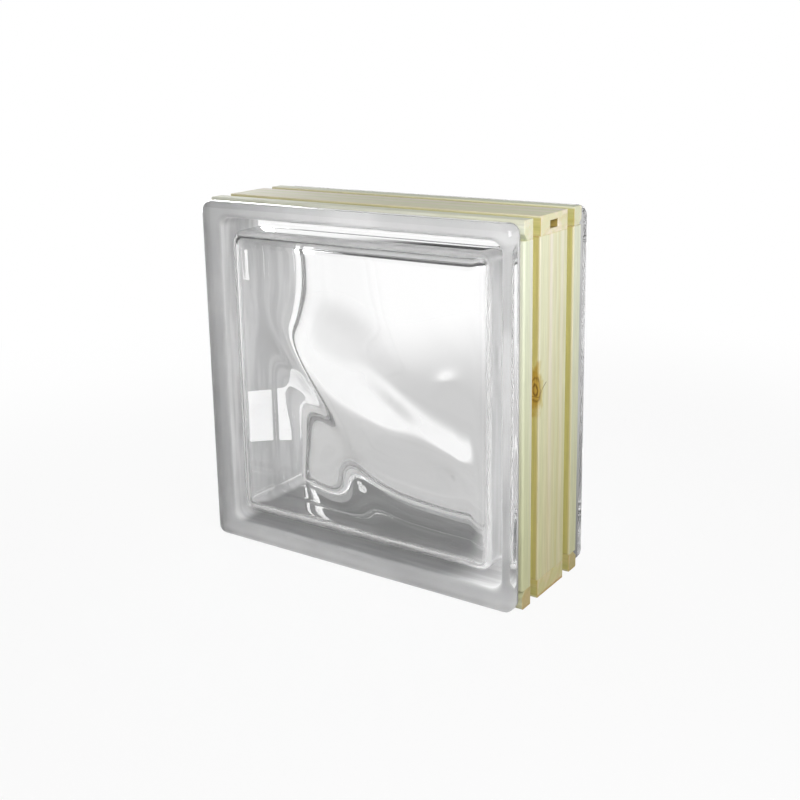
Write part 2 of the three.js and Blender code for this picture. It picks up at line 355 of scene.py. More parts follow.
def closed_band(rings):
    """Repeats the first point of each ring at its end."""
    return np.concatenate([rings, rings[:, :1]], axis=1)


def mesh_object(name, points, faces):
    """An object from whole arrays of points and four-sided faces."""
    mesh = bpy.data.meshes.new(name)
    mesh.vertices.add(len(points))
    mesh.vertices.foreach_set("co", np.ascontiguousarray(points, np.float32).ravel())
    mesh.loops.add(faces.size)
    mesh.loops.foreach_set("vertex_index", np.ascontiguousarray(faces, np.int32).ravel())
    mesh.polygons.add(len(faces))
    mesh.polygons.foreach_set("loop_start", np.arange(0, faces.size, 4, dtype=np.int32))
    mesh.polygons.foreach_set("use_smooth", np.ones(len(faces), bool))
    mesh.update(calc_edges=True)
    piece = bpy.data.objects.new(name, mesh)
    bpy.context.scene.collection.objects.link(piece)
    return piece


def weld(piece, distance):
    """Merges points that lie on each other."""
    body = bmesh.new()
    body.from_mesh(piece.data)
    bmesh.ops.remove_doubles(body, verts=body.verts, dist=distance)
    volume = body.calc_volume(signed=True)
    loose = sum(not edge.is_manifold for edge in body.edges)
    body.to_mesh(piece.data)
    body.free()
    print("%s: %.1f cm3, %d open edges, %d faces"
          % (piece.name, volume * 1e6, loose, len(piece.data.polygons)))


print("grids are laid down, then welded")

# %% [markdown]
# ### The block
#
# The outside and the air space are two closed skins of one mesh. The air
# space's skin is turned over, so that its faces point into the air, away
# from the glass. Welded as one piece, the two dishes show no face between
# them, just as fused glass does not.

# %% Build the glass block
WELD_REACH = 0.002 * MM


def plate_points(inset, radius, sign, surface):
    """Points of a plate's side: the grid, with y from surface(x, z)."""
    x, z = plate_grid(inset, radius)
    return np.stack([x, sign * surface(x, z), z], axis=-1)


def build_glass():
    """The block: outside, two faces, air space and two plates."""
    store = {"points": [], "faces": []}
    add_grid(store, closed_band(level_rings(*outer_levels())), False)
    add_grid(store, closed_band(air_rings()), True)
    for plate, sign, foot, inset in PLATES:
        flat = plate_points(EDGE, CORNER - EDGE, sign, lambda x, z: np.full_like(x, DEPTH))
        pressed = plate_points(
            inset + foot, air_corner(foot), sign,
            lambda x, z: DEPTH - PLATE - wave(x, z, plate))
        add_grid(store, flat, sign > 0)
        add_grid(store, pressed, sign < 0)
    points = np.concatenate(store["points"]) + np.array([0, 0, MIDDLE])
    piece = mesh_object("glass_block", points, np.concatenate(store["faces"]))
    weld(piece, WELD_REACH)
    return piece


glass_block = build_glass()
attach(glass_block, "root")
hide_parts("glass_half_front", "glass_half_back")

# %% [markdown]
# ## A sheet of nodes
#
# A material is a small network of nodes. Written out call by call it hides
# its idea, so a node sheet gives each kind of step a short name: a sum, an
# even change between two bounds, a blend of two colours, a cloud of noise.
# Every call takes numbers or the outputs of other calls.

# %% Node sheets
class NodeSheet:
    """The nodes of one material or world."""

    def __init__(self, tree):
        self.nodes = tree.nodes
        self.link = tree.links.new

    def put(self, socket, value):
        """Links an output to a socket, or sets its plain value."""
        if isinstance(value, bpy.types.NodeSocket):
            self.link(value, socket)
        else:
            socket.default_value = value

    def node(self, kind, inputs=(), **settings):
        """A new node with its settings and with inputs given by name or place."""
        node = self.nodes.new("ShaderNode" + kind)
        for name, value in settings.items():
            setattr(node, name, value)
        for name, value in dict(inputs).items():
            self.put(node.inputs[name], value)
        return node

    def math(self, operation, first, second=0.0):
        """One step of arithmetic."""
        return self.node("Math", {0: first, 1: second}, operation=operation).outputs[0]

    def ramp(self, source, start, end, low=0.0, high=1.0):
        """low before start, high after end, and a soft change between."""
        bounds = {"Value": source, "From Min": start, "From Max": end,
                  "To Min": low, "To Max": high}
        return self.node("MapRange", bounds, interpolation_type="SMOOTHSTEP").outputs[0]

    def blend(self, share, first, second):
        """The number first where share is 0, and second where it is 1."""
        return self.node("Mix", {0: share, 2: first, 3: second}).outputs[0]

    def tint(self, share, first, second, kind="MIX"):
        """The colour first where share is 0, and second where it is 1."""
        colours = {0: share, 6: first, 7: second}
        return self.node("Mix", colours, data_type="RGBA", blend_type=kind).outputs[2]

    def place(self, x, y, z):
        """A vector of three numbers."""
        return self.node("CombineXYZ", {0: x, 1: y, 2: z}).outputs[0]

    def noise(self, vector, scale, detail=2.0, roughness=0.5):
        """A cloud of values from about 0.25 to 0.75, around one half."""
        inputs = {"Vector": vector, "Scale": scale, "Detail": detail, "Roughness": roughness}
        return self.node("TexNoise", inputs).outputs[0]


print("node sheets are ready")

# %% A new material
def grey(value):
    """A colour of three equal parts."""
    return (value, value, value, 1)


def new_material(name, **shader_values):
    """A material, its node sheet and its shader with the plain values set."""
    material = bpy.data.materials.new(name)
    material.use_nodes = True
    sheet = NodeSheet(material.node_tree)
    shader = sheet.nodes["Principled BSDF"]
    for socket, value in shader_values.items():
        shader.inputs[socket.replace("_", " ")].default_value = value
    return material, sheet, shader


print("white is", grey(1.0))

# %% [markdown]
# ## Glass and the coat in the channel
#
# Clear pressed glass is a transmission shader with the refraction index of
# soda-lime glass and no roughness. The channel and the back of the rim carry
# a pale coat, which mortar or wood can grip. It is painted on the glass, so
# it needs no body of its own: the faces there take a second, matt material,
# and through the glass it gives the border its light grey.

# %% Glass
GLASS_INDEX = 1.52
clear_glass, sheet, shader = new_material(
    "clear_pressed_glass", Base_Color=grey(1.0), Roughness=0.0, IOR=GLASS_INDEX,
    Transmission_Weight=1.0)
glass_block.data.materials.append(clear_glass)
print("glass bends light with the index", GLASS_INDEX)

# %% [markdown]
# ### The coat
#
# The coat is pale, and painted shade is laid into its tone: it is lightest
# along the top and the right, darker up the left side and towards the
# bottom, and darker still on the back of the rim. Its tone is blended from
# the place alone: up the block, towards either side, and on the rim from the
# lower left to the upper right. A painted picture could do it too, but would
# have to be fitted to every face. The brush left fine streaks round the block.

# %% Coat in the channel
# The tones below paint shade into the coat: lightest along the top and the right, darker up the
# left, at the bottom and on the rim.
COAT_TOP = 0.95              # on the floor of the channel, along the top and the right
COAT_LEFT = 0.70             # up the left side
COAT_BOTTOM = 0.27           # and along the bottom, darker as painted shade
COAT_RIM_LOW = 0.31          # on the back of the rim, left and bottom
COAT_RIM_HIGH = 0.50         # and right and top
COAT_STREAKS = 150           # streaks per metre of depth
COAT_RUN = 0.15              # how much slower the coat changes along the channel
COAT_UNEVEN = 0.80           # how far the streaks dull the coat
COAT_ROUGHNESS = 0.6
RIGHT_SIDE = (0.5 * HALF, 0.9 * HALF)    # the right side's tone sets in between these
LEFT_SIDE = (-0.8 * HALF, -0.9 * HALF)   # and the left side's
channel_coat, sheet, shader = new_material("pale_channel_coat", Roughness=COAT_ROUGHNESS)
place = sheet.node("TexCoord").outputs["Object"]
x, y, z = sheet.node("SeparateXYZ", {0: place}).outputs
right_share = sheet.ramp(x, *RIGHT_SIDE)
left_share = sheet.ramp(x, *LEFT_SIDE)
shaded_floor_coat = sheet.ramp(z, MIDDLE - HALF, MIDDLE + HALF, COAT_BOTTOM, COAT_TOP)
shaded_floor_coat = sheet.blend(right_share, shaded_floor_coat, COAT_TOP)
shaded_floor_coat = sheet.blend(left_share, shaded_floor_coat, COAT_LEFT)
corner_way = sheet.math("ADD", x, sheet.math("SUBTRACT", z, MIDDLE))
shaded_rim_coat = sheet.ramp(corner_way, 0.0, HALF, COAT_RIM_LOW, COAT_RIM_HIGH)
rim_start = DEPTH - FLANGE - CHANNEL_FILLET
rim_share = sheet.ramp(sheet.math("ABSOLUTE", y), rim_start, DEPTH - FLANGE)
tone = sheet.blend(rim_share, shaded_floor_coat, shaded_rim_coat)
slow_x, slow_z = [sheet.math("MULTIPLY", way, COAT_RUN) for way in (x, z)]
streak = sheet.noise(sheet.place(slow_x, y, slow_z), COAT_STREAKS, detail=3)
tone = sheet.math("MULTIPLY", tone, sheet.ramp(streak, 0.35, 0.65, 1.0, COAT_UNEVEN))
sheet.link(sheet.place(tone, tone, tone), shader.inputs["Base Color"])
glass_block.data.materials.append(channel_coat)
print("coat: %.2f at the top, %.2f at the bottom" % (COAT_TOP, COAT_BOTTOM))

# %% Put the coat on its faces
ROUND_CORNER = 3 * MM        # the channel's round corners lie this much deeper


def coat_channel(piece):
    """Gives the coat to all faces behind the rim, between the two faces."""
    mesh = piece.data
    centres = np.empty(len(mesh.polygons) * 3)
    mesh.polygons.foreach_get("center", centres)
    x, y, z = centres.reshape(-1, 3).T
    inset = HALF - np.maximum(np.abs(x), np.abs(z - MIDDLE))
    rim_back = DEPTH - FLANGE + RIM_BACK
    coated = (np.abs(y) < rim_back) & (inset < CHANNEL + ROUND_CORNER)
    mesh.polygons.foreach_set("material_index", coated.astype(np.int32))
    print("coated faces:", int(coated.sum()))


coat_channel(glass_block)

# %% [markdown]
# ## Pine
#
# Pine is drawn as a solid, not as a skin. A board is sawn out of a trunk, so
# its colour depends only on where it lay there: the distance from the pith
# gives the year rings, with a pale band of spring wood and a darker line of
# summer wood, and the pattern then runs over edges, down into the grooves
# and across the end grain by itself, as on real wood. Each board has a pith
# of its own, so no two look alike.
#
# A board's own frame helps: `along` the grain, `across` the face, and `deep`
# from the outer face inwards, all in millimetres.

# %% Frame of a board
wood_box = [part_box("bottom_rail")[0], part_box("top_rail")[1]]
WOOD_HALF = wood_box[1].x / MM
WOOD_TOP = wood_box[1].z / MM


def board_frame(sheet, upright, side):
    """along, across and deep of a point, in millimetres.

    side is 1 for the right stile and the top rail, and -1 for the others.
    """
    place = sheet.node("TexCoord").outputs["Object"]
    split = sheet.node("SeparateXYZ", {0: place}).outputs
    x, y, z = [sheet.math("MULTIPLY", socket, 1 / MM) for socket in split]
    z = sheet.math("SUBTRACT", z, WOOD_TOP / 2)
    out = sheet.math("MULTIPLY", x if upright else z, side)
    deep = sheet.math("SUBTRACT", WOOD_HALF, out)
    return (z if upright else x), y, deep


print("wood: %.1f mm wide, %.1f mm high" % (2 * WOOD_HALF, WOOD_TOP))

# %% Year rings
RING = 4.2                   # millimetres from one year ring to the next
RING_WANDER = 6.0            # how far rings stray from true circles
WANDER_ALONG = 0.012         # how fast they stray along the grain, per millimetre
WANDER_ACROSS = 0.12
WANDER_DEEP = 0.05
SUMMER_START = 0.2           # the share of a year at which the wood starts to darken
SUMMER_END = 0.85            # and at which it quickly turns pale again
DARKEST_RING = 0.6           # how much summer wood the darkest years show
YEAR_PICK = 0.73             # an odd scale: each year gets a tone of its own


def year_rings(sheet, along, across, deep, pith):
    """0 in spring wood, rising to 1 in the thin line of summer wood.

    The distance from the pith, strayed by long soft noise, is divided by the
    ring width. Its fraction tells the season, which turns slowly from pale
    to dark and quickly back. Some years leave a darker line than others.
    """
    wander = sheet.noise(sheet.place(
        sheet.math("MULTIPLY", along, WANDER_ALONG),
        sheet.math("MULTIPLY", across, WANDER_ACROSS),
        sheet.math("MULTIPLY", deep, WANDER_DEEP)), 1.0)
    wander = sheet.math("MULTIPLY", sheet.math("SUBTRACT", wander, 0.5), RING_WANDER)
    beside = sheet.math("SUBTRACT", across, pith[0])
    below = sheet.math("SUBTRACT", deep, pith[1])
    squares = sheet.math("ADD", sheet.math("POWER", beside, 2.0), sheet.math("POWER", below, 2.0))
    reach = sheet.math("ADD", sheet.math("SQRT", squares), wander)
    years = sheet.math("DIVIDE", reach, RING)
    season = sheet.math("FRACT", years)
    rise = sheet.ramp(season, SUMMER_START, SUMMER_END)
    fall = sheet.ramp(season, SUMMER_END, 1.0, 1.0, 0.0)
    year = sheet.place(sheet.math("FLOOR", years), 0.0, 0.0)
    strength = sheet.ramp(sheet.noise(year, YEAR_PICK), 0.3, 0.7, 0.0, DARKEST_RING)
    return sheet.math("MULTIPLY", sheet.math("MULTIPLY", rise, fall), strength)


print("rings every %.1f mm" % RING)

# %% Fibres and streaks
FIBRE_STRETCH = 0.03         # fibres change this much more slowly along the grain
FIBRE_SCALE = 1.3            # per millimetre
STREAK_STRETCH = 0.006
STREAK_SCALE = 0.13


def fibres(sheet, along, across, deep):
    """Fine streaks, about thirty times longer than wide."""
    spot = sheet.place(sheet.math("MULTIPLY", along, FIBRE_STRETCH), across, deep)
    return sheet.noise(spot, FIBRE_SCALE, detail=4.0, roughness=0.6)


def streaks(sheet, along, across, deep, start):
    """Broad soft streaks along the grain, for slow changes of tone."""
    way = sheet.math("ADD", sheet.math("MULTIPLY", along, STREAK_STRETCH), start)
    return sheet.noise(sheet.place(way, across, deep), STREAK_SCALE, detail=1.0)


print("fibres: %.0f times longer than wide" % (1 / FIBRE_STRETCH))

# %% [markdown]
# ### Grooves, slot and outer strips
#
# A fresh outer face is pale. The grooves and the slot are recesses, and
# painted shade makes them darker: golden in the grooves and amber in the
# slot. The strips outside the grooves lie nearest to the bark and are faintly
# green. All of this is known from the place alone: the grooves lie at a given
# distance from the middle of the face, and the slot at one end of one board.

# %% Grooves and slot
GROOVE_NEAR = 13.95          # from the middle of the face, in millimetres
GROOVE_FAR = 21.05
GROOVE_SKIN = 0.05           # the walls of a groove count as groove
GROOVE_SHADE_START = 0.3             # the painted groove shade sets in between these two depths
GROOVE_SHADE_FULL = 1.4
# Painted shade: the grooves turn darker and golden, the slot darker and amber.
GROOVE_SHADE = (0.70, 0.67, 0.36, 1)
OUTER_GREEN = (0.70, 0.78, 0.66, 1)
OUTER_SHARE = 0.45
SLOT_HALF_WIDTH = 4.1
SLOT_TOP = 3.3
SLOT_FLOOR = 7.1
SLOT_START = 77.8
SLOT_LIP = 0.8               # the painted shade of the slot ends this far inside the end of the board
SLOT_SHADE = (0.50, 0.40, 0.13, 1)


def between(sheet, value, low, high, soft):
    """1 between low and high, and 0 a little way outside."""
    return sheet.math("MULTIPLY", sheet.ramp(value, low - soft, low),
                      sheet.ramp(value, high, high + soft, 1.0, 0.0))


def groove_shade_share(sheet, across, deep):
    """Painted shade in the grooves: 1 inside a groove, from a little below the outer face."""
    off = sheet.math("ABSOLUTE", across)
    beside = between(sheet, off, GROOVE_NEAR - GROOVE_SKIN, GROOVE_FAR + GROOVE_SKIN, 0.3)
    return sheet.math("MULTIPLY", beside, sheet.ramp(deep, GROOVE_SHADE_START, GROOVE_SHADE_FULL))


def outer_share(sheet, across):
    """OUTER_SHARE on the strips outside the grooves, and 0 between them."""
    off = sheet.math("ABSOLUTE", across)
    return sheet.ramp(off, GROOVE_FAR, GROOVE_FAR + 1, 0.0, OUTER_SHARE)


def slot_shade_share(sheet, along, across, deep):
    """Painted shade in the slot: 1 on the walls of the slot in the end of the top rail."""
    beside = between(sheet, across, -SLOT_HALF_WIDTH, SLOT_HALF_WIDTH, 0.2)
    below = between(sheet, deep, SLOT_TOP, SLOT_FLOOR, 0.2)
    inside = between(sheet, along, SLOT_START, WOOD_HALF - SLOT_LIP, 0.5)
    return sheet.math("MULTIPLY", sheet.math("MULTIPLY", beside, below), inside)


print("grooves: %.1f mm wide" % (GROOVE_FAR - GROOVE_NEAR))

# %% [markdown]
# ### Ends and painted shade low down
#
# End grain is speckled and a little darker, and in the grooves painted shade
# makes it browner. It is a thin layer at the two ends of a board. The wood
# is painted darker and yellower towards the bottom, as shade, but little in
# the grooves. The ends of the bottom rail are brown along their low edge.

# %% End grain and painted shade low down
END_REACH = 0.6              # thickness of the end layer, in millimetres
END_CREAM = (1.0, 0.97, 0.90, 1)
END_BROWN_AND_SHADE = (0.80, 0.58, 0.36, 1)
END_SPECKS = 0.5
FOOT_STRIP_BROWN = 0.7       # on the outer strips of the bottom rail's ends
FOOT_BROWN_FULL = 1.5        # the brown low edge fades between these two depths
FOOT_BROWN_END = 3.0
FOOT_RAGGED = 2.0            # and the fibres make it ragged by this much
# Painted shade: the wood turns darker and yellower towards the bottom of the block.
LOW_SHADE = (0.74, 0.72, 0.56, 1)
LOW_SHADE_IN_GROOVE = 0.3


def end_share(sheet, along, reach):
    """1 on the two ends of a board that reaches this far from its middle."""
    return sheet.ramp(sheet.math("ABSOLUTE", along), reach - END_REACH, reach)


def end_brown_and_shade(sheet, board, deep, fine, groove_shade, outer):
    """How brown the end grain is: in specks, in the grooves as painted shade, and at the foot."""
    # The specks are the end grain's own colour; in the grooves the brown is painted shade.
    brown_and_shade = sheet.math("MAXIMUM", groove_shade, sheet.ramp(fine, 0.5, 0.7, 0.0, END_SPECKS))
    if board == "bottom_rail":
        ragged = sheet.math("ADD", deep, sheet.math("MULTIPLY", fine, FOOT_RAGGED))
        low_edge = sheet.ramp(ragged, FOOT_BROWN_FULL, FOOT_BROWN_END, 1.0, 0.0)
        strips = sheet.ramp(outer, 0.0, OUTER_SHARE, 0.0, FOOT_STRIP_BROWN)
        brown_and_shade = sheet.math("MAXIMUM", brown_and_shade, sheet.math("MAXIMUM", low_edge, strips))
    return brown_and_shade


def low_shade_share(sheet, groove_shade):
    """Where painted shade falls low down: 0 at the top of the block and 1 at its bottom, but less
    in a groove.
    """
    place = sheet.node("TexCoord").outputs["Object"]
    height = sheet.node("SeparateXYZ", {0: place}).outputs["Z"]
    low_down = sheet.ramp(height, 0.0, WOOD_TOP * MM, 1.0, 0.0)
    return sheet.math("MULTIPLY", low_down, sheet.blend(groove_shade, 1.0, LOW_SHADE_IN_GROOVE))


print("end grain: %.1f mm deep" % END_REACH)

# %% [markdown]
# ### The knot
#
# A knot is a branch that the trunk grew round. Here a groove was sawn right
# through one: its heart is dark resin wood with rings of its own, round it
# lies a golden halo that is longer along the grain, and the year rings of
# the board bend aside. A fine crack runs out of it across the face. The saw
# left the knot as flat as the wood round it, so no mesh is needed for it.

# %% Reach of the knot
KNOT_ALONG = 12.0                # above the middle of the board
KNOT_ACROSS = -14.2              # in the wall of the front groove
KNOT_DEEP = 2.0                  # below the face
KNOT_HEART = (7.0, 2.4, 3.6)     # half length, half width and half depth
KNOT_HALO = (15.0, 5.5, 9.0)
HEART_STRAY = 0.9                # how uneven their edges are
HALO_STRAY = 1.4
STRAY_SCALE = 0.3                # bumps of these edges per millimetre
STRAY_RUN = 0.6                  # and the share of these along the grain


def knot_reach(sheet, along, across, deep, size, stray_by):
    """Distance from the knot's middle, where 1 is its uneven oval edge."""
    squares = 0.0
    middle = (KNOT_ALONG, KNOT_ACROSS, KNOT_DEEP)
    for way, start, half in zip((along, across, deep), middle, size):
        part = sheet.math("DIVIDE", sheet.math("SUBTRACT", way, start), half)
        squares = sheet.math("ADD", sheet.math("POWER", part, 2.0), squares)
    spot = sheet.place(sheet.math("MULTIPLY", along, STRAY_RUN), across, deep)
    stray = sheet.math("SUBTRACT", sheet.noise(spot, STRAY_SCALE, detail=2), 0.5)
    stray = sheet.math("MULTIPLY", stray, stray_by)
    return sheet.math("ADD", sheet.math("SQRT", squares), stray)


print("knot: %.0f mm long with its halo" % (2 * KNOT_HALO[0]))

# %% Crack beside the knot
CRACK_START = (-13.6, 9.0)       # across and along
CRACK_SLOPE = 1.15
CRACK_BEND = -0.05
CRACK_REACH = 6.5
CRACK_WIDTH = 0.45


def crack_share(sheet, along, across):
    """1 on a fine line that climbs and bends away from the knot.

    The line is along = start + slope * way + bend * way^2.
    """
    way = sheet.math("SUBTRACT", across, CRACK_START[0])
    bend = sheet.math("MULTIPLY", sheet.math("POWER", way, 2.0), CRACK_BEND)
    climb = sheet.math("ADD", sheet.math("MULTIPLY", way, CRACK_SLOPE), bend)
    off = sheet.math("SUBTRACT", along, sheet.math("ADD", climb, CRACK_START[1]))
    line = sheet.ramp(sheet.math("ABSOLUTE", off), 0.0, CRACK_WIDTH, 1.0, 0.0)
    return sheet.math("MULTIPLY", line, between(sheet, way, 0.0, CRACK_REACH, 1.0))


print("crack: %.1f mm across the face" % CRACK_REACH)

# %% Paint of the knot
HEART_EDGE = (0.5, 1.35)         # heart and halo fade out between these reaches
HALO_EDGE = (0.4, 1.1)
KNOT_COVER = 0.95                # how far they cover the wood
KNOT_RINGS = 2.2                 # rings from the middle to the edge of the heart
KNOT_RING_BREAK = 0.8            # how far the fibres break these rings up
KNOT_RING_SOFT = 1.2             # how soft they are
KNOT_BROWN = (0.16, 0.08, 0.01, 1)
KNOT_AMBER = (0.52, 0.34, 0.06, 1)
KNOT_GOLD = (0.84, 0.72, 0.42, 1)
KNOT_RESIN_AND_SHADE = (0.74, 0.52, 0.14, 1)


def add_knot(sheet, along, across, deep, groove_shade, fine, colour):
    """Paints the halo, the ringed heart and the crack over a colour.

    The rings are a sine of the reach, and the fibres break them up.
    """
    halo = knot_reach(sheet, along, across, deep, KNOT_HALO, HALO_STRAY)
    halo = sheet.ramp(halo, *HALO_EDGE, KNOT_COVER, 0.0)
    # In the groove the halo is darker and more amber: the knot's own resin, deepened by painted
    # shade.
    resin_and_shade = sheet.tint(groove_shade, KNOT_GOLD, KNOT_RESIN_AND_SHADE)
    colour = sheet.tint(halo, colour, resin_and_shade, "MULTIPLY")
    reach = knot_reach(sheet, along, across, deep, KNOT_HEART, HEART_STRAY)
    ring = sheet.math("SINE", sheet.math("MULTIPLY", reach, KNOT_RINGS * 2 * math.pi))
    broken = sheet.ramp(fine, 0.35, 0.65, -KNOT_RING_BREAK, KNOT_RING_BREAK)
    ring = sheet.ramp(sheet.math("ADD", ring, broken), -KNOT_RING_SOFT, KNOT_RING_SOFT)
    heart = sheet.tint(ring, KNOT_BROWN, KNOT_AMBER)
    colour = sheet.tint(sheet.ramp(reach, *HEART_EDGE, KNOT_COVER, 0.0), colour, heart)
    return sheet.tint(crack_share(sheet, along, across), colour, KNOT_BROWN)


print("rings in the heart:", KNOT_RINGS)

# %% [markdown]
# ### The finish of a board
#
# The layers are laid over each other: first the wood as it grew, then painted
# shade low down, in the grooves and in the slot, then the ends and the knot,
# and last the fibres, which shade every colour a little. Summer wood is
# harder and takes a finer polish, so it is less rough, and fibres and rings stand out as a fine
# relief.

# %% Colour and relief of pine
GREEN_WOOD = (0.73, 0.76, 0.48, 1)
ROSE_WOOD = (0.88, 0.80, 0.70, 1)
SPRING_WOOD = (0.83, 0.80, 0.65, 1)
SUMMER_WOOD = (0.70, 0.62, 0.34, 1)
SPRING_SHARE = 0.45          # how far spring wood evens out the broad streaks
PINE_ROUGHNESS = 0.62
RING_POLISH = 0.12           # how much smoother summer wood is
FIBRE_DARK = 0.88
FIBRE_LIGHT = 1.04
FIBRE_RELIEF = 0.00006       # metres
RING_RELIEF = 0.5            # relief of the rings beside the fibres'
RELIEF_STRENGTH = 0.7


def grown_colour(sheet, rings, tone, outer):
    """The wood as it grew: broad streaks, year rings and outer strips."""
    colour = sheet.tint(sheet.ramp(tone, 0.38, 0.62), ROSE_WOOD, GREEN_WOOD)
    colour = sheet.tint(SPRING_SHARE, colour, SPRING_WOOD)
    colour = sheet.tint(rings, colour, SUMMER_WOOD)
    return sheet.tint(outer, colour, OUTER_GREEN)


def finish_pine(sheet, shader, colour, rings, fine):
    """Shades the colour with the fibres and adds polish and relief."""
    shade = sheet.ramp(fine, 0.3, 0.7, FIBRE_DARK, FIBRE_LIGHT)
    colour = sheet.tint(1.0, colour, sheet.place(shade, shade, shade), "MULTIPLY")
    sheet.link(colour, shader.inputs["Base Color"])
    rough = sheet.ramp(rings, 0.0, 1.0, PINE_ROUGHNESS, PINE_ROUGHNESS - RING_POLISH)
    sheet.link(rough, shader.inputs["Roughness"])
    height = sheet.math("ADD", fine, sheet.math("MULTIPLY", rings, RING_RELIEF))
    relief = sheet.node("Bump", {
        "Height": height, "Distance": FIBRE_RELIEF, "Strength": RELIEF_STRENGTH})
    sheet.link(relief.outputs[0], shader.inputs["Normal"])


print("pine: roughness %.2f, summer wood %.2f" % (PINE_ROUGHNESS, PINE_ROUGHNESS - RING_POLISH))

# %% Pine for one board
KNOT_PUSH = 5.0              # how far a knot bends the year rings aside
KNOT_PUSH_END = 1.6          # and the reach at which they lie straight again


def pine(board, upright, side, length, pith):
    """Pine for one board, with its pith at (across, deep) millimetres."""
    material, sheet, shader = new_material("pine_" + board)
    along, across, deep = board_frame(sheet, upright, side)
    knotty = board == "right_stile"
    ringed = across
    if knotty:
        reach = knot_reach(sheet, along, across, deep, KNOT_HALO, HALO_STRAY)
        push = sheet.ramp(reach, 0.0, KNOT_PUSH_END, KNOT_PUSH, 0.0)
        ringed = sheet.math("ADD", across, push)
    rings = year_rings(sheet, along, ringed, deep, pith)
    fine = fibres(sheet, along, across, deep)
    tone = streaks(sheet, along, across, deep, pith[0])
    outer = outer_share(sheet, across)
    groove_shade = groove_shade_share(sheet, across, deep)
    colour = grown_colour(sheet, rings, tone, outer)
    # Painted shade: darker and yellower low down.
    colour = sheet.tint(low_shade_share(sheet, groove_shade), colour, LOW_SHADE, "MULTIPLY")
    # Painted shade: darker and golden in the grooves, darker and amber in the slot.
    colour = sheet.tint(groove_shade, colour, GROOVE_SHADE, "MULTIPLY")
    if board == "top_rail":
        slot = slot_shade_share(sheet, along, across, deep)
        colour = sheet.tint(slot, colour, SLOT_SHADE, "MULTIPLY")
    brown_and_shade = end_brown_and_shade(sheet, board, deep, fine, groove_shade, outer)
    end = sheet.tint(brown_and_shade, END_CREAM, END_BROWN_AND_SHADE)
    colour = sheet.tint(end_share(sheet, along, length / 2), colour, end, "MULTIPLY")
    if knotty:
        colour = add_knot(sheet, along, across, deep, groove_shade, fine, colour)
    finish_pine(sheet, shader, colour, rings, fine)
    return material


print("the knot bends the rings by %.0f mm" % KNOT_PUSH)

# %% [markdown]
# ### Boards with eased edges
#
# A planed board is never razor sharp: sandpaper takes the edge off. The
# boards of the model have the right shape, so each is copied, its loose
# triangles are welded and its flat faces made whole again, and a bevel eases
# every edge. At the joints the two eased edges make the fine dark line that
# shows where one board ends.

# %% Dress the boards
EASED = 0.35 * MM
EASED_ANGLE = math.radians(30)       # edges that turn by more than this are eased
FLAT_ANGLE = math.radians(0.5)       # faces that turn by less are made one
BOARD_WELD = 0.005 * MM
RAIL_LENGTH = 2 * WOOD_HALF
STILE_LENGTH = (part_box("right_stile")[1].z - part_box("right_stile")[0].z) / MM
BOARDS = (
    # name, upright, side, length, and the pith across the face and below it
    ("top_rail", False, 1, RAIL_LENGTH, (8, 40)),
    ("bottom_rail", False, -1, RAIL_LENGTH, (-30, 26)),
    ("left_stile", True, -1, STILE_LENGTH, (26, 34)),
    ("right_stile", True, 1, STILE_LENGTH, (-38, 30)),
)


def eased_board(board):
    """A welded copy of a board of the model, with a bevel on its edges."""
    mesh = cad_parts[board].data.copy()
    body = bmesh.new()
    body.from_mesh(mesh)
    bmesh.ops.remove_doubles(body, verts=body.verts, dist=BOARD_WELD)
    bmesh.ops.dissolve_limit(
        body, angle_limit=FLAT_ANGLE, verts=body.verts, edges=body.edges)
    body.to_mesh(mesh)
    body.free()
    piece = bpy.data.objects.new("eased_" + board, mesh)
    bpy.context.scene.collection.objects.link(piece)
    bevel = piece.modifiers.new("eased edges", "BEVEL")
    bevel.width = EASED
    bevel.segments = 2
    bevel.limit_method = "ANGLE"
    bevel.angle_limit = EASED_ANGLE
    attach(piece, "root")
    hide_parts(board)
    return piece


for board, upright, side, length, pith in BOARDS:
    piece = eased_board(board)
    piece.data.materials.clear()
    piece.data.materials.append(pine(board, upright, side, length, pith))
    print(piece.name, len(piece.data.polygons), "flat faces")

# %% [markdown]
# ## Floor and studio
#
# The floor and the room are white where the camera looks at them directly.
# Glass needs more: it shows its edges and waves only by what they bend into
# view, so a studio for glass is a white backdrop with black above it. Wood
# and coat want plain soft light instead. A Light Path node keeps the two
# apart: a ray that met nothing but glass has a diffuse depth of 0, and a
# ray that lights a matt surface has not.

# %% Kinds of rays
def light_paths(sheet):
    """Three outputs that are 1 for one kind of ray each, and 0 otherwise.

    The kinds are camera rays, rays that met only glass, and rays that light
    a matt surface through glass. A depth of less than a half is 0.
    """
    path = sheet.node("LightPath").outputs
    bent = sheet.math("MAXIMUM", path["Is Glossy Ray"], path["Is Transmission Ray"])
    clear = sheet.math("LESS_THAN", path["Diffuse Depth"], 0.5)
    in_glass = sheet.math("MULTIPLY", bent, clear)
    return path["Is Camera Ray"], in_glass, sheet.math("SUBTRACT", bent, in_glass)


print("three kinds of rays")

# %% [markdown]
# ### The floor
#
# The floor is a pale matt sheet under the block, so the block keeps its soft
# shadow. In a studio the paper sweeps up behind and turns into the backdrop.
# A curved sheet could be modelled, but it would have one good side only, so
# this one is flat and fades to the white of the backdrop further out. Seen
# through the glass it stays grey near the block, which gives the lower half
# of the window its grey.

# %% Floor
FLOOR_REACH = 1.2
FLOOR_GREY = 0.55
FLOOR_ROUGHNESS = 0.9
SWEEP_START = 0.25           # the floor fades to the white backdrop from here
SWEEP_END = 0.60
FLOOR_WHITE_DIRECT = 0.92
FLOOR_WHITE_IN_GLASS = 0.3

